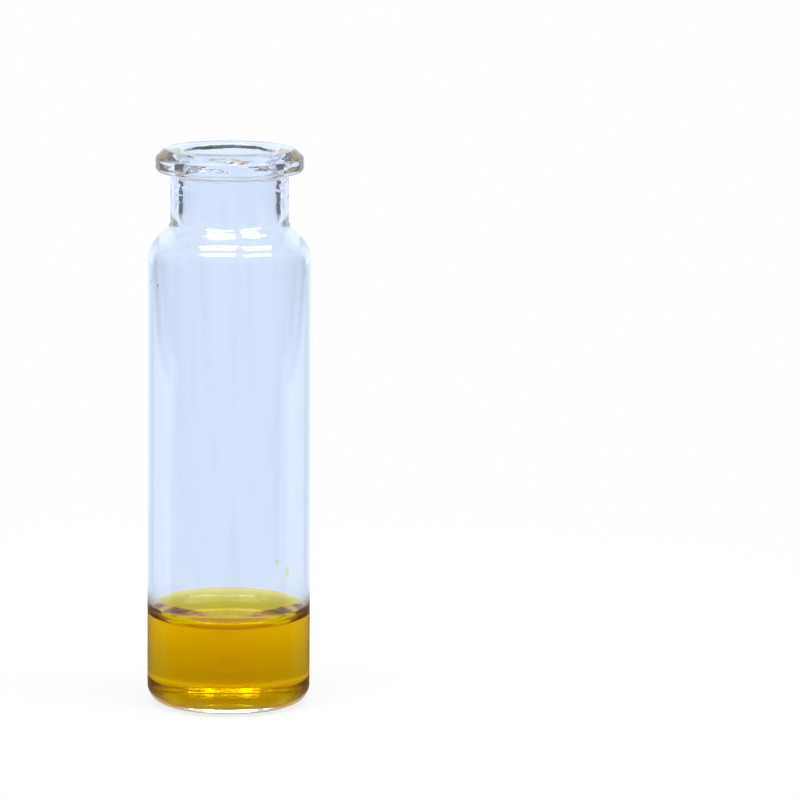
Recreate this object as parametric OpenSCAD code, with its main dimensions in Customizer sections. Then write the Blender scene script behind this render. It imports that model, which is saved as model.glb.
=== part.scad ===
// Open 20 ml headspace vial with a 20 mm crimp lip, holding a yellow liquid sample.
// Every surface is turned about the vertical axis, so each outline below is drawn as
// [radius, height] points, with round stretches as true arcs.

/* [Body] */
// Overall height
vial_h = 75.5; // [66:0.5:90]
// Outside diameter of the body
body_d = 22; // [20:0.1:26]
// Thickness of the body wall
wall_t = 0.8; // [0.6:0.05:1.2]
// Outside radius of the heel, where the wall turns into the base
heel_r = 2.5; // [1.8:0.1:4]

/* [Shoulder and neck] */
// Height from the neck's root to the top of the lip
neck_h = 10.5; // [10:0.1:13]
// Outside diameter of the neck
neck_d = 15.9; // [15.4:0.1:16.8]
// Diameter of the bore through the neck
bore_d = 12.6; // [12:0.1:12.9]
// Slope of the shoulder at its middle, from the horizontal
shoulder_slope = 37; // [32:1:42]
// Outside radius where the body turns into the shoulder
shoulder_r = 4.8; // [3:0.1:5.2]
// Outside radius at the root of the neck
root_r = 2.3; // [1:0.1:2.6]
// Slope of the shoulder's inner face, from the horizontal
inner_slope = 36; // [34:1:44]
// Inside radius where the body turns into the shoulder
inner_shoulder_r = 3.5; // [1.5:0.1:4.2]
// Radius of the glass where the bore opens into the body
inner_root_r = 4.9; // [3:0.1:5]

/* [Lip] */
// Outside diameter of the lip that the crimp cap grips
lip_d = 19.9; // [19.4:0.1:20.3]
// Height of the lip's upright face, between its sharp corners
lip_face_h = 1.8; // [1.5:0.1:2.1]
// Height of the sloping face under the lip
lip_under_h = 0.7; // [0.5:0.1:1]
// Width of the bevel round the top of the lip
bevel_w = 1.2; // [0.8:0.1:1.5]
// Height of the bevel round the top of the lip
bevel_h = 1.1; // [0.8:0.1:1.3]
// Fire-polished radius at the bevel's lower edge
lip_high_r = 0.5; // [0.2:0.1:0.6]
// Fire-polished radius at the lip's lower edge
lip_low_r = 0.6; // [0.2:0.1:0.8]
// Fire-polished radius round the mouth
mouth_r = 0.5; // [0.2:0.1:0.7]

/* [Base] */
// Thickness of the base at the foot ring
base_t = 1; // [0.8:0.1:1.5]
// Width of the flat ring that the vial stands on
foot_w = 1.6; // [1:0.1:2.2]
// Rise of the base's underside at its centre
push_up = 0.5; // [0.3:0.1:0.8]

/* [Sample] */
// Height of the liquid's flat surface above the foot
sample_level = 11.1; // [6:0.1:45]
// Capillary length of the liquid, which sets how high it climbs the wall
capillary = 1.88; // [1.4:0.02:2.4]
// Angle between the liquid's edge and the wall
contact_angle = 5; // [5:5:30]
// Height of the lower drip above the liquid's edge
drip_rise = 4.8; // [1:0.1:5.5]
// Height of the upper drip above the lower one
drip_step = 1.9; // [1.5:0.1:2.5]
// Radius of the drips at their feet
drip_r = 0.34; // [0.3:0.02:0.5]

/* [Hidden] */
$fn = 96;

body_r = body_d / 2;
neck_r = neck_d / 2;
bore_r = bore_d / 2;
lip_r = lip_d / 2;
body_bore_r = body_r - wall_t;

// Rounding of the small corners at the lip's top edge and under the lip
top_edge_r = 0.2;
under_r = 0.3;

// Heights of the sharp corners that the arcs round off
bevel_z = vial_h - bevel_h;
lip_low_z = bevel_z - lip_face_h;
under_z = lip_low_z - lip_under_h;
root_z = vial_h - neck_h;
shoulder_z = root_z - (body_r - neck_r) * tan(shoulder_slope);
// The bore's corner lies a little below the root outside, and a wide arc rounds it
bore_drop = 0.2;
inner_root_z = root_z - bore_drop;
inner_shoulder_z = inner_root_z - (body_bore_r - bore_r) * tan(inner_slope);

// The largest arc that leaves room on a slope, from an upright wall across a run of the
// given width, for the arc at the slope's other end
function arc_room(width, slope, other_r) =
    width / cos(slope) / tan((90 - slope) / 2) - other_r - arc_gap;
arc_gap = 0.1;
shoulder_fit_r = min(shoulder_r, arc_room(body_r - neck_r, shoulder_slope, root_r));
inner_shoulder_fit_r =
    min(inner_shoulder_r, arc_room(body_bore_r - bore_r, inner_slope, inner_root_r));

// The drips hang on the wall above the liquid's edge
edge_z = sample_level + climb(90 - contact_angle);
drip_z = edge_z + drip_rise;
drip_tip_r = drip_r * 0.7;
drip_rounding = 0.9;
low_drip_h = 1.4;
high_drip_h = 0.9;
low_drip_angle = 48;
high_drip_angle = 38;

// The base is domed upwards inside the foot ring, at an even thickness
foot_inner_r = body_r - heel_r - foot_w;
inner_heel_r = heel_r - wall_t;

// How far cutting outlines run past the glass, and how far an arc passes its tangents
over = 1;
hair = 0.0002;

glass_tint = [0.84, 0.89, 0.98, 0.35];
sample_tint = [0.78, 0.59, 0.02, 0.85];

function unit(v) = v / norm(v);
function is_convex(a, b, c) = cross(b - a, c - b) > 0;

// Half the angle at the corner b between a and c, then the centre of its arc of radius r
// and the two points where the arc leaves the straight edges
function half_angle(a, b, c) = acos(unit(a - b) * unit(c - b)) / 2;
function arc_centre(a, b, c, r) =
    b + unit(unit(a - b) + unit(c - b)) * r / sin(half_angle(a, b, c));
function arc_ends(a, b, c, r) =
    [for (next = [a, c]) b + unit(next - b) * r / tan(half_angle(a, b, c))];

// What is cut to round the corner b: outside the arc where the corner is convex, inside it
// where it is hollow. The arc is a hair large, so that it crosses both straight edges.
module corner_cut(a, b, c, r) {
    centre = arc_centre(a, b, c, r);
    past_corner = 1.1 / pow(sin(half_angle(a, b, c)), 2);
    if (is_convex(a, b, c))
        difference() {
            polygon(concat([centre],
                [for (end = arc_ends(a, b, c, r)) centre + (end - centre) * past_corner]));
            translate(centre) circle(r + hair);
        }
    else
        translate(centre) circle(r + hair);
}

// An outline of [radius, height, corner radius] points, taken anticlockwise. Hollow
// corners are filled straight across before they are cut.
module rounded_outline(corners) {
    last = len(corners) - 1;
    points = [for (corner = corners) [corner[0], corner[1]]];
    rounded = [for (i = [1 : last - 1]) if (corners[i][2] > 0) i];
    difference() {
        polygon([for (i = [0 : last])
            each corners[i][2] > 0 && !is_convex(points[i - 1], points[i], points[i + 1])
                ? arc_ends(points[i - 1], points[i], points[i + 1], corners[i][2])
                : [points[i]]]);
        for (i = rounded)
            corner_cut(points[i - 1], points[i], points[i + 1], corners[i][2]);
    }
}

// A shallow dome of radius r at height z, rising by h at the axis
module dome(r, z, h) {
    dome_r = (r * r + h * h) / (2 * h);
    translate([0, z + h - dome_r]) circle(dome_r, $fn = 360);
}

// Outside of the glass, from the foot to the lip's top
module outer_outline() {
    difference() {
        rounded_outline([
            [0, 0, 0],
            [body_r, 0, heel_r],
            [body_r, shoulder_z, shoulder_fit_r],
            [neck_r, root_z, root_r],
            [neck_r, under_z, under_r],
            [lip_r, lip_low_z, lip_low_r],
            [lip_r, bevel_z, lip_high_r],
            [lip_r - bevel_w, vial_h, top_edge_r],
            [0, vial_h, 0]
        ]);
        dome(foot_inner_r, 0, push_up);
    }
}

// Inside of the glass, from the floor out through the mouth
module inner_outline() {
    difference() {
        rounded_outline([
            [0, base_t, 0],
            [body_bore_r, base_t, inner_heel_r],
            [body_bore_r, inner_shoulder_z, inner_shoulder_fit_r],
            [bore_r, inner_root_z, inner_root_r],
            [bore_r, vial_h, mouth_r],
            [lip_r, vial_h, 0],
            [lip_r, vial_h + over, 0],
            [0, vial_h + over, 0]
        ]);
        dome(foot_inner_r, base_t, push_up);
    }
}

// Where a capillary surface has a given slope: its height above the flat level, and its
// distance from an upright wall that it would meet at no angle
function climb(slope) = 2 * capillary * sin(slope / 2);
function reach(slope) = capillary * (ln(1 / tan(slope / 4)) - 2 * cos(slope / 2));

// Everything below the liquid's surface, with the meniscus curving up to the wall
module below_surface() {
    steepest = 90 - contact_angle;
    polygon(concat(
        [[0, 0], [body_r, 0], [body_r, edge_z]],
        [for (slope = [steepest : -5 : 5])
            [body_bore_r - reach(slope) + reach(steepest), sample_level + climb(slope)]],
        [[0, sample_level]]
    ));
}

module glass_vial() {
    color(glass_tint) rotate_extrude() difference() {
        outer_outline();
        inner_outline();
    }
}

module liquid_sample() {
    color(sample_tint) rotate_extrude() intersection() {
        inner_outline();
        below_surface();
    }
}

// A drip that has run down the inner wall: a rounded foot that narrows upwards to a tip.
// The angle is taken from the front, towards the right.
module drip(angle, z, length) {
    intersection() {
        cylinder(r = body_bore_r, h = vial_h);
        rotate([0, 0, angle]) translate([0, -body_bore_r, z]) rotate_extrude() rounded_outline([
            [0, 0, 0],
            [drip_r, 0, drip_r * drip_rounding],
            [drip_tip_r, length, drip_tip_r * drip_rounding],
            [0, length, 0]
        ]);
    }
}

module drip_low() {
    color(sample_tint) drip(low_drip_angle, drip_z, low_drip_h);
}

module drip_high() {
    color(sample_tint) drip(high_drip_angle, drip_z + drip_step, high_drip_h);
}

glass_vial();
liquid_sample();
drip_low();
drip_high();
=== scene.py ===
"""Open crimp-neck sample vial in drawn glass, with a yellow liquid sample and two drips.

Lengths are kept in metres on the property groups, and the outlines are worked out in mm.
"""

import math
from types import SimpleNamespace

import bpy
from bpy.props import FloatProperty, FloatVectorProperty, IntProperty, PointerProperty
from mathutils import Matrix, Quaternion, Vector, noise


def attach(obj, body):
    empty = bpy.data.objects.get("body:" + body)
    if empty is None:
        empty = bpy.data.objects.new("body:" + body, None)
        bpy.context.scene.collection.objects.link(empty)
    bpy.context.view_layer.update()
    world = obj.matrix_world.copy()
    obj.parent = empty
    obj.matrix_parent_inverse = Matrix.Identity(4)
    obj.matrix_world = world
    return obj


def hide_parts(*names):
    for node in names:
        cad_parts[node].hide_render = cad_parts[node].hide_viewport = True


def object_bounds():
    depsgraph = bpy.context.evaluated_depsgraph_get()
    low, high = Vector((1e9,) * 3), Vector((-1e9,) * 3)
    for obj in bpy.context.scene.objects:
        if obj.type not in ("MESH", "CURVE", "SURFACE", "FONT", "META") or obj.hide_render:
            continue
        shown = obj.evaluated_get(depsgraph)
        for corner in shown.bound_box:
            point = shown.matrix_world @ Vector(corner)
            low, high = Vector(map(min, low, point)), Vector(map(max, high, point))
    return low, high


bl_info = {
    "name": "Glass sample vial",
    "version": (1, 0, 0),
    "blender": (4, 5, 0),
    "location": "View3D > Sidebar > Sample Vial",
    "description": "Builds the looks of an open crimp-neck vial round its packed model",
    "category": "Object",
}

MM = 0.001

# Light that has crossed more faces than this has been through the liquid, and light that
# has met more mirroring ones than this is a reflection
THROUGH_LIQUID = 4.5
MIRRORED = 0.5
# Setting of the Map Range nodes that rise or fall softly
SMOOTH = {"interpolation_type": "SMOOTHSTEP"}

# Steps of the outlines: degrees on arcs, mm on walls and in the marked bore
ARC_STEP = 5
WALL_STEP = 1.5
BORE_STEP = 0.16
# Points on the liquid's curved edge, on its flat middle and on a dome
RIM_STEPS = 42
FLAT_STEPS = 8
DOME_STEPS = 14
# Rings and sides of a dried film and of a speck
FILM_FACETS = (12, 24)
SPECK_FACETS = (6, 8)

# Slack in mm: on the bore's wall, at the liquid's edge, on the axis, between two points
BORE_HAIR = 0.05
MARK_HAIR = 0.001
ON_AXIS = 1e-6
SAME_POINT = 0.004
# A bend of more degrees than this stays a sharp edge
SHARP_BEND = 35

# The liquid's uneven edge fades out over this height in mm, with this many waves per radian
EDGE_BAND = 1.2
EDGE_WAVES = 2.5
# Waves per radian on the lip, and how far its pattern is shifted from the bore's
LIP_WAVES = 4
LIP_SHIFT = 7
# Layers of an uneven surface: how fast they fall in height, how much finer each one is
# than the last, and how many there are
LAYERS = (0.7, 2.0, 3)
# How much a film narrows upwards
FILM_TAPER = 0.35
# One part in this many of a speck's thickness lies in the glass
SPECK_SINK = 5

# Levels of noise between which a pattern rises from nothing to its full strength
STREAKS = (0.5, 0.72)
SWIRLS = (0.45, 0.75)
CLOUDS = (0.4, 0.7)
DARK_DUST = (0.35, 0.65)
TOOTH = (0.3, 0.7)

# Width of the camera's sensor, and how near and how far it sees, in metres
SENSOR_MM = 36.0
CLIP = (0.01, 20.0)
# Most faces that light may meet in the glass and the liquid
GLASS_BOUNCES = 200

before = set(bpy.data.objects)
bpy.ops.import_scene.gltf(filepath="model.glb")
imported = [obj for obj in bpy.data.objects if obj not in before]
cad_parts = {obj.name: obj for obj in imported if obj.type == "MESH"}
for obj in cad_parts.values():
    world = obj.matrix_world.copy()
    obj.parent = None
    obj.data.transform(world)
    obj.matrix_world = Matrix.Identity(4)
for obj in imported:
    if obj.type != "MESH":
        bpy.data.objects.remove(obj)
CAD_BOX = [list(corner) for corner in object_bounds()]
VIAL_H = CAD_BOX[1][2] / MM
BODY_R = min(CAD_BOX[1][0], CAD_BOX[1][1]) / MM


# ---------------------------------------------------------------- outlines and meshes

def arc_corner(before, corner, after, radius):
    """Points of the arc that rounds a corner of an outline of (radius, height) points."""
    b = Vector(corner)
    to_a, to_c = (Vector(before) - b).normalized(), (Vector(after) - b).normalized()
    half = to_a.angle(to_c) / 2
    start, end = (b + way * radius / math.tan(half) for way in (to_a, to_c))
    centre = b + (to_a + to_c).normalized() * radius / math.sin(half)
    first, last = start - centre, end - centre
    turn = first.angle_signed(last)
    count = max(2, math.ceil(abs(math.degrees(turn)) / ARC_STEP))
    points = []
    for i in range(count + 1):
        angle = -turn * i / count
        spoke = Vector((first.x * math.cos(angle) - first.y * math.sin(angle),
                        first.x * math.sin(angle) + first.y * math.cos(angle)))
        points.append(tuple(centre + spoke))
    return points


def rounded(corners):
    """An outline of (radius, height, corner radius) points with its corners rounded."""
    line = [tuple(corners[0][:2])]
    for before, corner, after in zip(corners, corners[1:], corners[2:]):
        if corner[2] > 0:
            line += arc_corner(before[:2], corner[:2], after[:2], corner[2])
        else:
            line.append(tuple(corner[:2]))
    return line + [tuple(corners[-1][:2])]


def dome(radius, z, rise):
    """A shallow dome from the axis out to its edge, which lies at height z."""
    ball = (radius * radius + rise * rise) / (2 * rise)
    spots = [radius * i / DOME_STEPS for i in range(DOME_STEPS + 1)]
    return [(r, z + rise - ball + math.sqrt(ball * ball - r * r)) for r in spots]


def refined(line, longest):
    """The same outline with no step longer than the given length."""
    out = [line[0]]
    for a, b in zip(line, line[1:]):
        parts = max(1, math.ceil(math.dist(a, b) / longest))
        out += [tuple(p + (q - p) * i / parts for p, q in zip(a, b))
                for i in range(1, parts + 1)]
    return out


def unrepeated(line):
    """Drops points that lie on the one before."""
    out = [line[0]]
    for point in line[1:]:
        if math.dist(point, out[-1]) > SAME_POINT:
            out.append(point)
    return out


def add_piece(name, verts, faces, material, node=None):
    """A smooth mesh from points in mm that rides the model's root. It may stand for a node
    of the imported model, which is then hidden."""
    mesh = bpy.data.meshes.new(name)
    mesh.from_pydata([tuple(c * MM for c in vert) for vert in verts], [], faces)
    mesh.validate()
    mesh.polygons.foreach_set("use_smooth", [True] * len(mesh.polygons))
    mesh.set_sharp_from_angle(angle=math.radians(SHARP_BEND))
    mesh.materials.append(material)
    piece = bpy.data.objects.new(name, mesh)
    bpy.context.scene.collection.objects.link(piece)
    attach(piece, "root")
    if node:
        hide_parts(node)
    return piece


def turned(line, segments, relief):
    """Points and faces of a closed mesh turned about Z from an outline in mm that starts
    and ends on the axis. The relief moves each point outwards and upwards."""
    rings, verts, faces = [], [], []
    for r, z in line:
        ring = []
        for s in range(segments if r > ON_AXIS else 1):
            angle = 2 * math.pi * s / segments
            out, up = relief(r, z, angle) if r > ON_AXIS else (0.0, 0.0)
            ring.append(len(verts))
            verts.append(((r + out) * math.cos(angle), (r + out) * math.sin(angle), z + up))
        rings.append(ring)
    for low, high in zip(rings, rings[1:]):
        for s in range(segments):
            t = (s + 1) % segments
            if len(low) == 1:
                faces.append((low[0], high[t], high[s]))
            elif len(high) == 1:
                faces.append((low[s], low[t], high[0]))
            else:
                faces.append((low[s], low[t], high[t], high[s]))
    return verts, faces


def mark_wetted(piece, line, segments, is_wetted):
    """Marks the faces of a turned piece where glass meets liquid. The test is given the two
    points of the outline that a ring of faces lies between."""
    marks = []
    for a, b in zip(line, line[1:]):
        marks += [1.0 if is_wetted(a, b) else 0.0] * segments
    mark = piece.data.attributes.new("wetted", "FLOAT", "FACE")
    mark.data.foreach_set("value", marks)


def bead(turn_right, z, wall_r, width, height, depth, sink, taper, rings, sides):
    """Points and faces of a small flat bead on the inside of an upright wall. It narrows
    upwards and its back is sunk a little into the wall. The angle runs from the front
    towards the right."""
    verts, faces = [], []
    middle = turn_right - math.pi / 2
    for i in range(rings + 1):
        up = -math.cos(math.pi * i / rings)
        for j in range(sides if 0 < i < rings else 1):
            turn = 2 * math.pi * j / sides
            across = math.sqrt(max(0.0, 1 - up * up))
            side = across * math.cos(turn) * width / 2 * (1 - taper * up)
            inward = across * math.sin(turn)
            r = wall_r - inward * (depth if inward > 0 else sink)
            a = middle + side / wall_r
            verts.append((r * math.cos(a), r * math.sin(a), z + up * height / 2))
    for i in range(rings):
        low = 1 + (i - 1) * sides
        for j in range(sides):
            k = (j + 1) % sides
            if i == 0:
                faces.append((0, 1 + k, 1 + j))
            elif i == rings - 1:
                faces.append((low + j, low + k, len(verts) - 1))
            else:
                faces.append((low + j, low + k, low + sides + k, low + sides + j))
    return verts, faces


# ---------------------------------------------------------------- colours and nodes

def linear(code):
    """A colour written as sRGB hex, turned to linear with full alpha."""
    parts = [int(code.lstrip("#")[i:i + 2], 16) / 255 for i in (0, 2, 4)]
    return [c / 12.92 if c <= 0.04045 else ((c + 0.055) / 1.055) ** 2.4
            for c in parts] + [1.0]


WHITE = linear("ffffff")


def add_node(tree, kind, values=(), **settings):
    """Adds a node with its settings. The values go to its inputs in use, in order, or by
    name from a dictionary. Each is plain, another node's output, or a node that stands for
    its first output in use."""
    node = tree.nodes.new("ShaderNode" + kind)
    for key, setting in settings.items():
        setattr(node, key, setting)
    if isinstance(values, dict):
        pairs = [(node.inputs[name], value) for name, value in values.items()]
    else:
        pairs = zip([socket for socket in node.inputs if socket.enabled], values)
    for socket, value in pairs:
        if isinstance(value, bpy.types.Node):
            value = next(output for output in value.outputs if output.enabled)
        if isinstance(value, bpy.types.NodeSocket):
            tree.links.new(value, socket)
        else:
            socket.default_value = value
    return node


def new_material(name):
    """An empty node material and its tree."""
    material = bpy.data.materials.new(name)
    material.use_nodes = True
    material.node_tree.nodes.clear()
    return material, material.node_tree


def patches(tree, across, along, levels):
    """Soft patches of the given size in metres, across the piece and along Z, that come up
    between two levels of noise."""
    place = add_node(tree, "TexCoord").outputs["Object"]
    scaled = add_node(tree, "VectorMath", (place, (1 / across, 1 / across, 1 / along)),
                      operation="MULTIPLY")
    grain = add_node(tree, "TexNoise", {"Vector": scaled.outputs[0], "Scale": 1.0})
    return add_node(tree, "MapRange", (grain, *levels), **SMOOTH)


def bending(tree, shader, dry, wet):
    """Sets how much a shader bends light on the dry faces of a mesh and on the wetted ones."""
    mark = add_node(tree, "Attribute", attribute_name="wetted").outputs["Fac"]
    ior = add_node(tree, "MapRange", {"Value": mark, "To Min": dry, "To Max": wet})
    tree.links.new(ior.outputs["Result"], shader.inputs["IOR"])


def drawn_glass(g, liquid_ior):
    """Borosilicate tube, drawn hot and flame-worked at the neck. The drawing leaves a clear
    skin with a cool tint, crossed by very faint upright streaks that show as dim bands.
    Where it is wetted it meets a liquid that bends light nearly as much, so that face
    almost disappears."""
    material, tree = new_material("drawn_borosilicate_glass")
    streak = patches(tree, g.streak_width, g.streak_length, STREAKS)
    tint = add_node(tree, "Mix", (streak, g.glass_colour, g.streak_colour), data_type="RGBA")
    shader = add_node(tree, "BsdfPrincipled", {
        "Base Color": tint, "Roughness": 0.0, "IOR": g.glass_ior, "Transmission Weight": 1.0})
    bending(tree, shader, g.glass_ior, g.glass_ior / liquid_ior)
    add_node(tree, "OutputMaterial", (shader,))
    return material


def clear_liquid(s):
    """Clear yellow liquid at rest. Its colour is in its depth, so it is amber across the
    vial and a pale yellow-green where it thins out on the wall, and a very faint swirl
    makes its surface less than perfectly even. Against the wetted glass it has no face of
    its own, since that face belongs to the glass."""
    material, tree = new_material("clear_yellow_liquid")
    swirl = patches(tree, s.swirl_size, s.swirl_size, SWIRLS)
    tint = add_node(tree, "Mix", (swirl, WHITE, s.swirl_colour), data_type="RGBA")
    shader = add_node(tree, "BsdfPrincipled", {
        "Base Color": tint, "Roughness": 0.0, "IOR": s.liquid_ior,
        "Transmission Weight": 1.0})
    bending(tree, shader, s.liquid_ior, 1.0)
    depth = add_node(tree, "VolumeAbsorption", (s.liquid_colour, s.liquid_density))
    add_node(tree, "OutputMaterial", (shader, depth))
    return material


def dried_film(s):
    """Sample that ran down and dried on as a thin film. It lies close on the glass and
    hardly bends light, so it shows as a pale yellow-green stain that fades at its edge,
    cloudier in patches where it dried unevenly."""
    material, tree = new_material("dried_yellow_film")
    cloud = patches(tree, s.patch_size, s.patch_size, CLOUDS)
    tint = add_node(tree, "Mix", (cloud, WHITE, s.patch_colour), data_type="RGBA")
    shader = add_node(tree, "BsdfPrincipled", {
        "Base Color": tint, "Roughness": 0.0, "IOR": s.film_ior, "Transmission Weight": 1.0})
    depth = add_node(tree, "VolumeAbsorption", (s.liquid_colour, s.film_density))
    add_node(tree, "OutputMaterial", (shader, depth))
    return material


def settled_dust(d):
    """Matt specks of dust and lint that settled on the glass, brown and darker in parts."""
    material, tree = new_material("settled_brown_dust")
    tone = patches(tree, d.dust_grain, d.dust_grain, DARK_DUST)
    tint = add_node(tree, "Mix", (tone, d.dust_colour, d.dust_dark), data_type="RGBA")
    shader = add_node(tree, "BsdfPrincipled", {"Base Color": tint, "Roughness": 0.9})
    add_node(tree, "OutputMaterial", (shader,))
    return material


def pale_floor(s):
    """Matt sheet of pale, faintly blue paper. The camera sees it white with a very fine
    tooth, under a soft shadow that fades out away from the vial. Seen in the glass it is
    lit paper, with painted shade to the sides and a painted brown shadow of the sample
    beside it, and seen through the liquid it has the sample's amber shadow and a light
    ring under the heel painted on it. Its front part lies on the dark side of the room."""
    material, tree = new_material("matt_pale_sheet")
    place = add_node(tree, "TexCoord").outputs["Object"]
    path = add_node(tree, "LightPath").outputs
    side = add_node(tree, "SeparateXYZ", (place,)).outputs
    away = add_node(tree, "VectorMath", (place,), operation="LENGTH")
    liquid = add_node(tree, "Math", (path["Transmission Depth"], THROUGH_LIQUID),
                      operation="GREATER_THAN")
    mirrored = add_node(tree, "Math", (path["Glossy Depth"], MIRRORED),
                        operation="GREATER_THAN")

    # The floor seen through the liquid, by its distance from the vial's axis, with painted
    # shade
    # and light: the sample's amber shadow round the vial and a light ring under the heel
    spots = [(s.foot_edge, s.painted_under_shadow, 1.0), (s.ring_start, s.painted_ring_light, 1.0),
             (s.ring_end, s.painted_ring_light, 1.0), (s.near_end, s.painted_near_shadow, s.near_share),
             (s.amber_end, s.painted_amber_shadow, s.amber_share),
             (s.deep_full, s.deep_colour, 1.0), (s.rim_floor, s.rim_colour, 1.0),
             (s.deep_end, s.sheet_colour, 1.0)]
    share = add_node(tree, "Math", (away, s.ramp_reach), operation="DIVIDE")
    amber = add_node(tree, "ValToRGB", (share,))
    bands = amber.color_ramp
    bands.interpolation = "EASE"
    while len(bands.elements) < len(spots):
        bands.elements.new(1.0)
    for band, (spot, tone, light) in zip(bands.elements, spots):
        band.position = spot / s.ramp_reach
        band.color = [c * light for c in tone[:3]] + [1.0]

    # Mirrored in the glass, the sheet is dimmer to the sides by painted shade, and brown close
    # to the vial by a painted shadow of the sample
    near = add_node(tree, "MapRange", (away, s.beside_start, s.beside_full), **SMOOTH)
    fading = add_node(tree, "MapRange", (away, s.beside_fade, s.beside_end, 1.0, 0.0),
                      **SMOOTH)
    beside = add_node(tree, "Math", (near, fading), operation="MULTIPLY")
    off = add_node(tree, "Math", (side["X"],), operation="ABSOLUTE")
    off = add_node(tree, "Math", (off, away), operation="DIVIDE")
    aside = add_node(tree, "MapRange", (off, math.sin(s.aside_start), math.sin(s.aside_full)),
                     **SMOOTH)
    plain = add_node(tree, "Mix", (aside, s.sheet_colour, s.painted_aside_shade), data_type="RGBA")
    plain = add_node(tree, "Mix", (beside, plain, s.painted_beside_shadow), data_type="RGBA",
                     blend_type="MULTIPLY")
    plain = add_node(tree, "Mix", (mirrored, s.sheet_colour, plain), data_type="RGBA")
    lit = add_node(tree, "Mix", (liquid, plain, amber), data_type="RGBA")

    # Mirrored, only the back of the sheet and the ring under the heel are lit
    back = add_node(tree, "MapRange", (side["Y"], s.dark_start, s.dark_end), **SMOOTH)
    ring = add_node(tree, "MapRange", (away, s.ring_lit, s.ring_dark, 1.0, 0.0), **SMOOTH)
    shown = add_node(tree, "Math", (back, ring), operation="MAXIMUM")
    direct = add_node(tree, "Math", (1.0, mirrored), operation="SUBTRACT")
    shown = add_node(tree, "Math", (shown, direct), operation="MAXIMUM")
    level = add_node(tree, "MapRange", (shown, 0.0, 1.0, s.front_light, s.sheet_light))
    glow = add_node(tree, "Emission", (lit, level))

    # The camera sees white paper, with some matt paper in it that takes the shadow. Its
    # tooth is drawn coarser than on real paper, where it would be too fine to show.
    tooth = patches(tree, s.tooth_size, s.tooth_size, TOOTH)
    tooth = add_node(tree, "Mix", (tooth, s.paper_colour, s.tooth_colour), data_type="RGBA")
    paper = add_node(tree, "BsdfDiffuse", (tooth,))
    bright = add_node(tree, "Emission", (WHITE, 1.0))
    faint = add_node(tree, "MapRange", (away, s.shadow_start, s.shadow_end,
                                        1 - s.shadow_share, 1.0), **SMOOTH)
    seen = add_node(tree, "MixShader", (faint, paper, bright))
    both = add_node(tree, "MixShader", (path["Is Camera Ray"], glow, seen))
    add_node(tree, "OutputMaterial", (both,))
    return material


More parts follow.
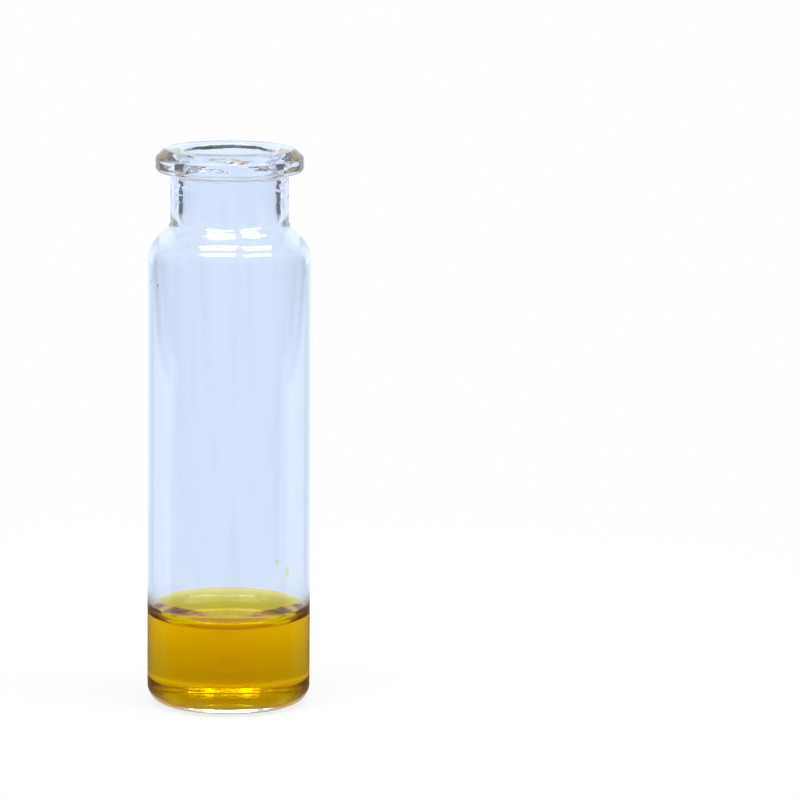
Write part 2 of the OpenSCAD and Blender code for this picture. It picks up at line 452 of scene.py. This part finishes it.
def white_room(s):
    """The room round the sheet: a white backdrop behind, darker walls at the sides and the
    front, and a ceiling in between. The camera, and what is seen straight through the
    glass, meet white all round."""
    world = bpy.data.worlds.new("white_room")
    world.use_nodes = True
    tree = world.node_tree
    tree.nodes.clear()
    way = add_node(tree, "SeparateXYZ", (add_node(tree, "TexCoord").outputs["Generated"],))
    path = add_node(tree, "LightPath").outputs
    camera = path["Is Camera Ray"]

    # Shares that come, or go, as a ray points higher between two angles
    coming, going = (0.0, 1.0), (1.0, 0.0)
    height = {
        name: add_node(tree, "MapRange", (way.outputs["Z"], math.sin(low), math.sin(high),
                                          *ends), **SMOOTH)
        for name, low, high, ends in (
            ("sky", 0.0, s.soft_edge, coming), ("upper", 0.0, s.side_top, coming),
            ("backdrop", s.backdrop_top, s.backdrop_end, going),
            ("straight", s.straight_top, s.straight_end, going),
            ("front", s.front_top, s.front_end, going),
            ("shelf", s.shelf_low, s.side_top, coming),
            ("shelf_top", s.shelf_top, s.shelf_end, going))}

    # The same for its angle aside from the backdrop's middle
    aside = add_node(tree, "Math", (way.outputs["X"], way.outputs["Y"]), operation="ARCTAN2")
    aside = add_node(tree, "Math", (aside,), operation="ABSOLUTE")
    behind, front, beside = [
        add_node(tree, "MapRange", (aside, start, end, *ends), **SMOOTH)
        for start, end, ends in (
            (s.backdrop - s.hard_edge, s.backdrop + s.hard_edge, going),
            (s.front_start, s.front_full, coming),
            (s.backdrop, s.backdrop + s.side_top, coming))]

    # Seen through the liquid, everything above the horizon is one warm, dimmer tone
    deep = add_node(tree, "Math", (path["Transmission Depth"], THROUGH_LIQUID),
                    operation="GREATER_THAN")
    liquid = add_node(tree, "Math", (deep, height["sky"]), operation="MULTIPLY")
    clear = add_node(tree, "Math", (1.0, liquid), operation="SUBTRACT")

    # White are the backdrop, and what the camera or a straight way through the glass meets
    backdrop = add_node(tree, "Math", (height["backdrop"], clear), operation="MULTIPLY")
    backdrop = add_node(tree, "Math", (behind, backdrop), operation="MULTIPLY")
    straight = add_node(tree, "Math", (path["Glossy Depth"], MIRRORED), operation="LESS_THAN")
    straight = add_node(tree, "Math", (straight, path["Is Transmission Ray"]),
                        operation="MULTIPLY")
    straight = add_node(tree, "Math", (straight, height["straight"]), operation="MULTIPLY")
    white = add_node(tree, "Math", (camera, straight), operation="MAXIMUM")
    white = add_node(tree, "Math", (white, backdrop), operation="MAXIMUM")

    # Light of the walls, from low to high, then of the dark front
    dark = add_node(tree, "Math", (front, height["front"]), operation="MULTIPLY")
    light = add_node(tree, "MapRange", (height["upper"], 0.0, 1.0, s.room_light,
                                        s.high_light))
    light = add_node(tree, "MapRange", (liquid, 0.0, 1.0, light, s.deep_light))
    light = add_node(tree, "MapRange", (dark, 0.0, 1.0, light, s.room_front))
    most = add_node(tree, "MapRange", (camera, 0.0, 1.0, s.sheet_light, 1.0))
    light = add_node(tree, "MapRange", (white, 0.0, 1.0, light, most))

    # The side walls are warm up to the height of a shelf
    shelf = add_node(tree, "Math", (height["shelf"], height["shelf_top"]),
                     operation="MULTIPLY")
    shelf = add_node(tree, "Math", (shelf, beside), operation="MULTIPLY")
    tint = add_node(tree, "Mix", (shelf, s.sheet_colour, s.shelf_colour), data_type="RGBA")
    tint = add_node(tree, "Mix", (liquid, tint, s.deep_colour), data_type="RGBA")
    tint = add_node(tree, "Mix", (camera, tint, WHITE), data_type="RGBA")
    room = add_node(tree, "Background", (tint, light))
    add_node(tree, "OutputWorld", (room,))
    return world


# ---------------------------------------------------------------- sizes and colours

def length(name, description, mm):
    """A length in metres, given in mm."""
    return FloatProperty(name=name, description=description, default=mm * MM,
                         unit="LENGTH", precision=5)


def angle(name, description, degrees):
    """An angle, given in degrees."""
    return FloatProperty(name=name, description=description,
                         default=math.radians(degrees), subtype="ANGLE")


def number(name, description, value):
    """A plain number."""
    return FloatProperty(name=name, description=description, default=value, precision=4)


def colour(name, description, code):
    """A colour, given as sRGB hex."""
    return FloatVectorProperty(name=name, description=description, default=linear(code),
                               size=4, subtype="COLOR", min=0.0, max=1.0)


def in_mm(group):
    """The values of a property group, with its lengths turned to mm."""
    values = {}
    for key, kind in group.bl_rna.properties.items():
        if key not in ("rna_type", "name"):
            value = getattr(group, key)
            values[key] = value / MM if getattr(kind, "unit", "") == "LENGTH" else value
    return SimpleNamespace(**values)


class VialGlass(bpy.types.PropertyGroup):
    """Sizes and finish of the glass."""
    wall: length("Wall", "Thickness of the body's wall", 0.8)
    neck_r: length("Neck radius", "Outside radius of the neck", 7.95)
    bore_r: length("Bore radius", "Radius of the bore through the neck", 6.3)
    lip_r: length("Lip radius", "Outside radius of the lip", 9.95)
    neck_h: length("Neck height", "From the neck's root to the top of the lip", 10.5)
    shoulder_slope: angle("Shoulder slope", "Outside, from the horizontal", 37)
    shoulder_r: length("Shoulder radius", "Where the body turns into the shoulder", 4.8)
    root_r: length("Root radius", "Outside, at the root of the neck", 2.3)
    inner_slope: angle("Inner slope", "Inside of the shoulder, from the horizontal", 36)
    inner_shoulder_r: length("Inner shoulder radius", "Inside of the shoulder's bend", 3.4)
    inner_root_r: length("Inner root radius", "Where the bore opens into the body", 5.5)
    bore_drop: length("Bore drop", "Depth of the bore's corner below the root", 0.2)
    bevel_w: length("Bevel width", "Of the bevel round the top of the lip", 1.2)
    bevel_h: length("Bevel height", "Of the bevel round the top of the lip", 1.1)
    face_h: length("Face height", "Of the lip's upright face", 1.8)
    under_h: length("Underside height", "Of the sloping face under the lip", 0.7)
    mouth_r: length("Mouth radius", "Fire-polished radius round the mouth", 0.5)
    top_edge_r: length("Top edge radius", "At the bevel's upper edge", 0.2)
    lip_high_r: length("Lip's upper radius", "At the bevel's lower edge", 0.5)
    lip_low_r: length("Lip's lower radius", "At the face's lower edge", 0.6)
    under_r: length("Under-lip radius", "Where the lip meets the neck", 0.3)
    heel_r: length("Heel radius", "Outside radius of the heel", 2.5)
    foot_w: length("Foot width", "Width of the ring that the vial stands on", 1.6)
    push_up: length("Push-up", "Rise of the underside at its centre", 0.2)
    base_t: length("Base", "Thickness of the base", 1.2)
    marks_h: length("Marked height", "How far down the neck the forming marks reach", 7.5)
    marks_fade: length("Marks' fade", "Over which the forming marks begin", 2.0)
    mouth_fade: length("Mouth's fade", "Over which they end at the mouth", 0.6)
    ripple: length("Ripple", "Height of the forming marks in the bore", 0.04)
    ripple_pitch: number("Ripple pitch", "Forming marks per mm up the bore", 1.6)
    ripple_turn: number("Ripples per radian", "Forming marks round the bore", 1.8)
    lip_ripple: length("Lip ripple", "Unevenness of the lip's outside", 0.012)
    glass_colour: colour("Glass colour", "Cool tint that each surface gives", "f7fafe")
    streak_colour: colour("Streak colour", "Tint in the faint upright streaks", "f3f5f9")
    streak_width: length("Streak width", "Of the upright streaks", 2.2)
    streak_length: length("Streak length", "Of the upright streaks", 24.0)
    glass_ior: number("Glass IOR", "Refractive index of the glass", 1.49)
    segments: IntProperty(name="Segments", description="Facets round the axis", default=288)


class VialSample(bpy.types.PropertyGroup):
    """Shape and colour of the liquid, and of what it left on the wall."""
    level: length("Level", "Flat surface above the foot", 11.1)
    capillary: length("Capillary length", "Sets how high the edge climbs", 1.88)
    edge_slope: angle("Edge slope", "Of the liquid's edge, from the horizontal", 85)
    edge_wave: length("Edge wave", "Unevenness of the edge on the wall", 0.09)
    gap: length("Gap", "Hair between the liquid and the glass", 0.003)
    liquid_ior: number("Liquid IOR", "Refractive index of the liquid", 1.40)
    liquid_colour: colour("Liquid colour", "Colour in depth", "fefb00")
    liquid_density: number("Depth of colour", "Absorption per metre", 1150.0)
    swirl_colour: colour("Swirl colour", "Tint of the faint swirls on the surface", "fbfbf4")
    swirl_size: length("Swirl size", "Of the faint swirls", 3.0)
    low_angle: angle("Lower drip's angle", "From the front, towards the right", 48)
    low_rise: length("Lower drip's rise", "Above the liquid's edge", 4.8)
    low_h: length("Lower drip's height", "Height of the film", 1.5)
    high_angle: angle("Upper drip's angle", "From the front, towards the right", 38)
    high_rise: length("Upper drip's rise", "Above the liquid's edge", 6.7)
    high_h: length("Upper drip's height", "Height of the film", 0.85)
    drip_w: length("Drip width", "Width of the film", 0.62)
    drip_t: length("Drip thickness", "At the middle of the film", 0.1)
    drip_sink: length("Drip's sink", "How far the film reaches into the wall", 0.02)
    film_ior: number("Film IOR", "How little the dried film bends light", 1.02)
    film_density: number("Film's depth of colour", "Absorption per metre", 4400.0)
    patch_colour: colour("Patch colour", "Where the film dried cloudier", "f4f4e6")
    patch_size: length("Patch size", "Of the cloudier parts", 0.25)


class VialDust(bpy.types.PropertyGroup):
    """Specks that settled on the glass."""
    speck_w: length("Speck width", "Width of the smallest specks", 0.1)
    lint_h: length("Lint length", "Length of the lint", 0.55)
    speck_t: length("Speck thickness", "Of all specks", 0.05)
    dust_colour: colour("Dust colour", "Brown dust", "7d6a55")
    dust_dark: colour("Dark dust", "Darker parts", "4a3f36")
    dust_grain: length("Dust grain", "Size of the darker parts", 0.1)


class VialStage(bpy.types.PropertyGroup):
    """Camera, lamps, floor and room."""
    camera_y: length("Camera distance", "In front of the vial's axis", 784.0)
    camera_z: length("Camera height", "Above the floor", 172.5)
    aim_x: length("Aim to the side", "Where the camera points, at the axis", 23.02)
    aim_z: length("Aim height", "Where the camera points, at the axis", 41.43)
    roll: FloatProperty(name="Roll", description="Of the camera", default=0.0073,
                        subtype="ANGLE")
    lens: number("Lens", "Focal length in mm", 265.4)
    sheet_w: length("Sheet width", "Width of the floor", 560.0)
    sheet_l: length("Sheet length", "Length of the floor", 2400.0)
    sheet_drop: length("Sheet drop", "Hair between the foot and the floor", 0.05)
    box_w: length("Softbox width", "Longer side of each softbox", 730.0)
    box_h: length("Softbox height", "Shorter side of each softbox", 360.0)
    box_z: length("Softbox distance", "Height of the softboxes over the floor", 1060.0)
    box_light: number("Softbox light", "Radiance of the softboxes", 8.0)
    left_x: length("Left softbox aside", "From the axis", -240.0)
    left_y: length("Left softbox ahead", "Towards the camera", 290.0)
    left_turn: angle("Left softbox's turn", "About the vertical", 8.7)
    right_x: length("Right softbox aside", "From the axis", 590.0)
    right_y: length("Right softbox ahead", "Towards the camera", 190.0)
    right_turn: angle("Right softbox's turn", "About the vertical", -39.6)
    sheet_light: number("Sheet light", "Radiance of the lit sheet", 1.16)
    sheet_colour: colour("Sheet colour", "Pale, faintly blue paper", "e2ecfd")
    paper_colour: colour("Paper", "The sheet as the camera sees it", "f9f9f9")
    tooth_colour: colour("Tooth", "Hollows of the paper's grain", "f6f6f6")
    tooth_size: length("Paper tooth", "Grain of the paper", 0.4)
    shadow_share: number("Shadow", "How much the floor shades", 0.2)
    shadow_start: length("Shadow start", "Where the shadow begins to fade", 20.0)
    shadow_end: length("Shadow end", "Where the shadow has gone", 150.0)
    foot_edge: length("Foot edge", "Floor that lies under the sample", 7.4)
    ring_start: length("Ring start", "Where the light ring under the heel begins", 8.2)
    ring_end: length("Ring end", "Where that ring ends behind the vial", 11.2)
    ring_lit: length("Ring lit", "Where that ring begins to darken in front", 10.0)
    ring_dark: length("Ring dark", "Where that ring ends in front", 11.0)
    near_end: length("Near floor", "Where the floor next to the ring ends", 16.0)
    amber_end: length("Amber floor", "Where the sample's shadow is lightest", 56.0)
    ramp_reach: length("Ramp", "Where the floor is plain again", 200.0)
    deep_full: length("Deep floor", "Where it has taken on the liquid's tone", 76.0)
    rim_floor: length("Rim floor", "What is seen through the liquid's rim", 85.0)
    deep_end: length("Deep end", "Where the floor is plain again", 93.0)
    near_share: number("Near light", "Share of light on the near floor", 0.8)
    amber_share: number("Amber light", "Share of light on the amber floor", 0.9)
    # Painted shadow of the sample and a painted light ring, seen through the liquid
    painted_under_shadow: colour("Under colour", "Floor under the sample", "d8a800")
    painted_ring_light: colour("Ring colour", "Floor under the clear heel", "e4e4e6")
    painted_near_shadow: colour("Near colour", "Floor next to the vial", "dbd276")
    painted_amber_shadow: colour("Amber colour", "Floor in the sample's shadow", "fdf2a0")
    rim_colour: colour("Rim colour", "Floor seen through the liquid's rim", "e6e68c")
    # Painted shadow of the sample beside the vial, and painted shade aside, seen in the glass
    painted_beside_shadow: colour("Beside colour", "Floor close beside the vial", "b09058")
    painted_aside_shade: colour("Aside colour", "Sheet farther aside", "c8d2e2")
    aside_start: angle("Aside start", "Where the sheet begins to darken aside", 16)
    aside_full: angle("Aside", "Where it is dimmer", 28)
    beside_start: length("Beside start", "Where that floor begins", 11.5)
    beside_full: length("Beside full", "Where it is reached", 15.0)
    beside_fade: length("Beside fade", "Distance at which it fades", 66.0)
    beside_end: length("Beside end", "Distance at which it has gone", 84.0)
    dark_start: length("Dark floor", "Where the dark front part of the floor ends", -12.0)
    dark_end: length("Lit floor", "Where the lit back part of the floor begins", 6.0)
    front_light: number("Front light", "Radiance of the dark front floor", 0.12)
    backdrop: angle("Backdrop", "Half its spread", 40)
    backdrop_top: angle("Backdrop's top", "Where it begins to fade", 33)
    backdrop_end: angle("Backdrop's end", "Where it has gone", 40)
    hard_edge: angle("Hard edge", "Softness of the backdrop's sides", 1.5)
    soft_edge: angle("Soft edge", "Softness of the horizon", 5)
    straight_top: angle("Clear view", "How steeply the view through the glass is white", 10)
    straight_end: angle("Clear view's end", "Where it no longer is", 18)
    front_start: angle("Front wall", "Where the dark front of the room begins", 100)
    front_full: angle("Front wall's edge", "Where it is fully dark", 125)
    front_top: angle("Front wall's top", "Where it begins to lighten", 15)
    front_end: angle("Ceiling", "Where the ceiling begins", 35)
    side_top: angle("Side wall's top", "Where the side walls become lighter", 12)
    room_light: number("Low light", "Radiance of the walls below the horizon", 0.16)
    high_light: number("High light", "Radiance of the upper walls and ceiling", 0.7)
    room_front: number("Front wall's light", "Radiance of the dark front", 0.15)
    shelf_colour: colour("Shelf colour", "Warm side walls", "dac6b0")
    shelf_low: angle("Shelf's start", "Height of the warm walls' lower edge", 2)
    shelf_top: angle("Shelf's top", "Where the warm walls begin to fade", 30)
    shelf_end: angle("Shelf's end", "Where they have gone", 38)
    deep_colour: colour("Deep colour", "What the liquid shows above the horizon", "dcc39a")
    deep_light: number("Deep light", "Its radiance", 0.9)


# ---------------------------------------------------------------- pieces

def climb(s, slope):
    """How high the liquid stands over its flat level where its surface has a slope."""
    return 2 * s.capillary * math.sin(slope / 2)


def reach(s, slope):
    """How far that place is from an upright wall met at no angle."""
    return s.capillary * (math.log(1 / math.tan(slope / 4)) - 2 * math.cos(slope / 2))


def edge_height(s):
    """Height of the liquid's edge on the wall, above the foot."""
    return s.level + climb(s, s.edge_slope)


def glass_outline(g, edge_z):
    """Outline of the glass, from the underside's middle up the outside and down the
    inside, with a point on the liquid's edge."""
    body_bore_r = BODY_R - g.wall
    root_z = VIAL_H - g.neck_h
    shoulder_z = root_z - (BODY_R - g.neck_r) * math.tan(g.shoulder_slope)
    inner_root_z = root_z - g.bore_drop
    inner_shoulder_z = inner_root_z - (body_bore_r - g.bore_r) * math.tan(g.inner_slope)
    bevel_z = VIAL_H - g.bevel_h
    low_z = bevel_z - g.face_h
    foot_r = BODY_R - g.heel_r - g.foot_w
    outside = rounded([
        (foot_r, 0, 0),
        (BODY_R, 0, g.heel_r),
        (BODY_R, shoulder_z, g.shoulder_r),
        (g.neck_r, root_z, g.root_r),
        (g.neck_r, low_z - g.under_h, g.under_r),
        (g.lip_r, low_z, g.lip_low_r),
        (g.lip_r, bevel_z, g.lip_high_r),
        (g.lip_r - g.bevel_w, VIAL_H, g.top_edge_r),
        (g.bore_r, VIAL_H, g.mouth_r),
        (g.bore_r, inner_root_z, g.inner_root_r),
        (body_bore_r, inner_shoulder_z, g.inner_shoulder_r),
        (body_bore_r, g.base_t, g.heel_r - g.wall),
        (foot_r, g.base_t, 0),
    ])
    bore = [i for i, (r, z) in enumerate(outside)
            if r < g.bore_r + BORE_HAIR and z > inner_root_z]
    outside = (outside[:bore[0]] + refined(outside[bore[0]:bore[-1] + 1], BORE_STEP)
               + outside[bore[-1] + 1:])
    under = dome(foot_r, 0, g.push_up)
    floor = dome(foot_r, g.base_t, g.push_up)
    line = unrepeated(refined(under + outside + floor[::-1], WALL_STEP))
    cut = next(i for i in range(len(line) - 1, 0, -1) if line[i][1] >= edge_z)
    return line[:cut + 1] + [(body_bore_r, edge_z)] + line[cut + 1:]


def liquid_outline(g, s):
    """Outline of the liquid, from the floor's middle up the wall and in over the surface.
    It stays a hair off the glass."""
    wall_r = BODY_R - g.wall - s.gap
    floor_z = g.base_t + s.gap
    foot_r = BODY_R - g.heel_r - g.foot_w
    steps = [s.edge_slope * (1 - i / RIM_STEPS) for i in range(RIM_STEPS)]
    rim = [(wall_r - reach(s, slope) + reach(s, s.edge_slope), s.level + climb(s, slope))
           for slope in steps]
    side = rounded([
        (foot_r, floor_z, 0),
        (wall_r, floor_z, g.heel_r - g.wall - s.gap),
        rim[0] + (0,),
    ])
    flat = [(rim[-1][0] * (1 - i / FLAT_STEPS), s.level) for i in range(1, FLAT_STEPS + 1)]
    floor = dome(foot_r, floor_z, g.push_up)
    return unrepeated(refined(floor + side + rim[1:] + flat, WALL_STEP))


def edge_wave(s, z, turn, edge_z):
    """How far the liquid's edge stands above or below its mean height at a place."""
    near = max(0.0, 1 - abs(z - edge_z) / EDGE_BAND)
    spot = Vector((math.cos(turn) * EDGE_WAVES, math.sin(turn) * EDGE_WAVES, 0.0))
    return s.edge_wave * near * noise.fractal(spot, *LAYERS)


def glass_relief(g, s, edge_z):
    """Ripples that flame-working left in the bore and, fainter, on the lip's outside, and
    the uneven edge of the wetted part of the wall."""
    start_z = VIAL_H - g.marks_h

    def relief(r, z, turn):
        x, y = math.cos(turn), math.sin(turn)
        if z < start_z:
            inside = r < BODY_R - g.wall + BORE_HAIR and z > s.level
            return 0.0, edge_wave(s, z, turn, edge_z) if inside else 0.0
        share = min(1.0, (z - start_z) / g.marks_fade, (VIAL_H - z) / g.mouth_fade)
        if r < g.bore_r + g.mouth_fade:
            spot = Vector((x * g.ripple_turn, y * g.ripple_turn, z * g.ripple_pitch))
            return g.ripple * share * noise.fractal(spot, *LAYERS), 0.0
        spot = Vector((x * LIP_WAVES + LIP_SHIFT, y * LIP_WAVES, z))
        return g.lip_ripple * share * noise.noise(spot), 0.0

    return relief


class VIAL_OT_glass(bpy.types.Operator):
    """Builds the drawn glass of the vial"""
    bl_idname = "vial.glass"
    bl_label = "Glass"

    def execute(self, context):
        scene = context.scene
        g, s = in_mm(scene.vial_glass), in_mm(scene.vial_sample)
        edge_z = edge_height(s)
        if not g.bore_r < g.neck_r < g.lip_r:
            raise ValueError("The neck has to be wider than its bore and narrower than the lip")
        line = glass_outline(g, edge_z)
        verts, faces = turned(line, g.segments, glass_relief(g, s, edge_z))
        material = drawn_glass(scene.vial_glass, s.liquid_ior)
        piece = add_piece("vial_glass", verts, faces, material, "glass_vial")

        def is_wetted(a, b):
            return (min(a[1], b[1]) > g.base_t - MARK_HAIR
                    and max(a[1], b[1]) < edge_z + MARK_HAIR
                    and max(a[0], b[0]) < BODY_R - g.wall + MARK_HAIR)

        mark_wetted(piece, line, g.segments, is_wetted)
        return {"FINISHED"}


class VIAL_OT_sample(bpy.types.Operator):
    """Builds the liquid with its edge climbing the wall"""
    bl_idname = "vial.sample"
    bl_label = "Sample"

    def execute(self, context):
        scene = context.scene
        g, s = in_mm(scene.vial_glass), in_mm(scene.vial_sample)
        edge_z = edge_height(s)
        if edge_z > VIAL_H - g.neck_h - BODY_R:
            raise ValueError("The liquid stands above the straight part of the wall")
        line = liquid_outline(g, s)

        def relief(r, z, turn):
            return 0.0, edge_wave(s, z, turn, edge_z) if z > s.level else 0.0

        verts, faces = turned(line, g.segments, relief)
        piece = add_piece("sample_liquid", verts, faces, clear_liquid(scene.vial_sample),
                          "liquid_sample")
        wall_r = BODY_R - g.wall - s.gap - MARK_HAIR

        def is_wetted(a, b):
            return min(a[1], b[1]) < s.level - MARK_HAIR or min(a[0], b[0]) > wall_r

        mark_wetted(piece, line, g.segments, is_wetted)
        return {"FINISHED"}


class VIAL_OT_drips(bpy.types.Operator):
    """Builds the two drips that dried on the wall"""
    bl_idname = "vial.drips"
    bl_label = "Drips"

    def execute(self, context):
        scene = context.scene
        g, s = in_mm(scene.vial_glass), in_mm(scene.vial_sample)
        edge_z = edge_height(s)
        material = dried_film(scene.vial_sample)
        for name, turn, rise, height in (("low", s.low_angle, s.low_rise, s.low_h),
                                         ("high", s.high_angle, s.high_rise, s.high_h)):
            verts, faces = bead(turn, edge_z + rise + height / 2, BODY_R - g.wall,
                                s.drip_w, height, s.drip_t, s.drip_sink,
                                FILM_TAPER, *FILM_FACETS)
            add_piece(f"{name}_film", verts, faces, material, f"drip_{name}")
        return {"FINISHED"}


class VIAL_OT_dust(bpy.types.Operator):
    """Scatters the specks and lint on the inside of the glass"""
    bl_idname = "vial.dust"
    bl_label = "Dust"

    def execute(self, context):
        d, g = in_mm(context.scene.vial_dust), in_mm(context.scene.vial_glass)
        body_r = BODY_R - g.wall
        spots = [
            # angle from the front, height, wall, share of the lint's length, width
            (-75, 57.9, body_r, 1.0, 1.0),
            (-64, 57.6, body_r, 1.0, 1.3),
            (-22, 18.5, body_r, 0.15, 0.8),
            (76, 20.8, body_r, 0.2, 1.0),
            (70, 20.7, body_r, 0.15, 0.8),
            (-80, 66.2, g.bore_r, 0.4, 1.4),
            (24, 67.6, g.bore_r, 0.15, 0.7),
        ]
        verts, faces = [], []
        for turn, z, wall_r, long, wide in spots:
            more, ends = bead(math.radians(turn), z, wall_r, d.speck_w * wide,
                              d.lint_h * long, d.speck_t, d.speck_t / SPECK_SINK, 0.0,
                              *SPECK_FACETS)
            faces += [tuple(i + len(verts) for i in face) for face in ends]
            verts += more
        add_piece("settled_dust", verts, faces, settled_dust(context.scene.vial_dust))
        return {"FINISHED"}


class VIAL_OT_stage(bpy.types.Operator):
    """Sets the sheet, the lamps, the room and the camera"""
    bl_idname = "vial.stage"
    bl_label = "Stage"

    def execute(self, context):
        scene, s = context.scene, context.scene.vial_stage
        mesh = bpy.data.meshes.new("white_sheet")
        x, y, z = s.sheet_w / 2, s.sheet_l / 2, -s.sheet_drop
        mesh.from_pydata([(-x, -y, z), (x, -y, z), (x, y, z), (-x, y, z)], [],
                         [(0, 1, 2, 3)])
        sheet = bpy.data.objects.new("white_sheet", mesh)
        scene.collection.objects.link(sheet)
        mesh.materials.append(pale_floor(s))

        for name, x, y, turn in (("softbox_left", s.left_x, s.left_y, s.left_turn),
                                 ("softbox_right", s.right_x, s.right_y, s.right_turn)):
            lamp = bpy.data.lights.new(name, "AREA")
            lamp.shape = "RECTANGLE"
            lamp.size, lamp.size_y = s.box_w, s.box_h
            # The power in watts that gives this radiance
            lamp.energy = s.box_light * lamp.size * lamp.size_y * math.pi
            holder = bpy.data.objects.new(name, lamp)
            scene.collection.objects.link(holder)
            holder.location = (x, -y, s.box_z)
            holder.rotation_euler = (0, 0, -turn)

        scene.world = white_room(s)

        lens = bpy.data.cameras.new("camera")
        lens.lens, lens.sensor_width = s.lens, SENSOR_MM
        lens.clip_start, lens.clip_end = CLIP
        camera = bpy.data.objects.new("camera", lens)
        scene.collection.objects.link(camera)
        camera.location = Vector((0.0, -s.camera_y, s.camera_z))
        target = Vector((s.aim_x, 0.0, s.aim_z))
        aim = (target - camera.location).to_track_quat("-Z", "Y")
        camera.rotation_euler = (aim @ Quaternion((0, 0, 1), s.roll)).to_euler()
        scene.camera = camera

        scene.view_settings.view_transform = "Standard"
        # Clear glass and liquid pass light through many faces before it gets out
        scene.cycles.max_bounces = GLASS_BOUNCES
        scene.cycles.transmission_bounces = GLASS_BOUNCES
        scene.cycles.glossy_bounces = GLASS_BOUNCES
        scene.cycles.sample_clamp_indirect = 0.0
        scene.cycles.use_denoising = True
        return {"FINISHED"}


class VIAL_PT_panel(bpy.types.Panel):
    """Lists the vial's pieces and its stage"""
    bl_label = "Sample Vial"
    bl_idname = "VIAL_PT_panel"
    bl_space_type = "VIEW_3D"
    bl_region_type = "UI"
    bl_category = "Sample Vial"

    def draw(self, context):
        for step in STEPS:
            self.layout.operator(step.bl_idname)
        for name, group in GROUPS.items():
            box = self.layout.box()
            for key in group.__annotations__:
                box.prop(getattr(context.scene, name), key)


GROUPS = {"vial_glass": VialGlass, "vial_sample": VialSample, "vial_dust": VialDust,
          "vial_stage": VialStage}
STEPS = [VIAL_OT_stage, VIAL_OT_glass, VIAL_OT_sample, VIAL_OT_drips, VIAL_OT_dust]
CLASSES = [*GROUPS.values(), *STEPS, VIAL_PT_panel]


def register():
    """Registers the classes, and hangs the groups of sizes on the scene."""
    for cls in CLASSES:
        bpy.utils.register_class(cls)
    for name, group in GROUPS.items():
        setattr(bpy.types.Scene, name, PointerProperty(type=group))


def unregister():
    """Undoes what register did."""
    for name in GROUPS:
        delattr(bpy.types.Scene, name)
    for cls in reversed(CLASSES):
        bpy.utils.unregister_class(cls)


def main():
    """Builds the stage and all pieces."""
    register()
    bpy.ops.vial.stage()
    bpy.ops.vial.glass()
    bpy.ops.vial.sample()
    bpy.ops.vial.drips()
    bpy.ops.vial.dust()


if __name__ == "__main__":
    main()
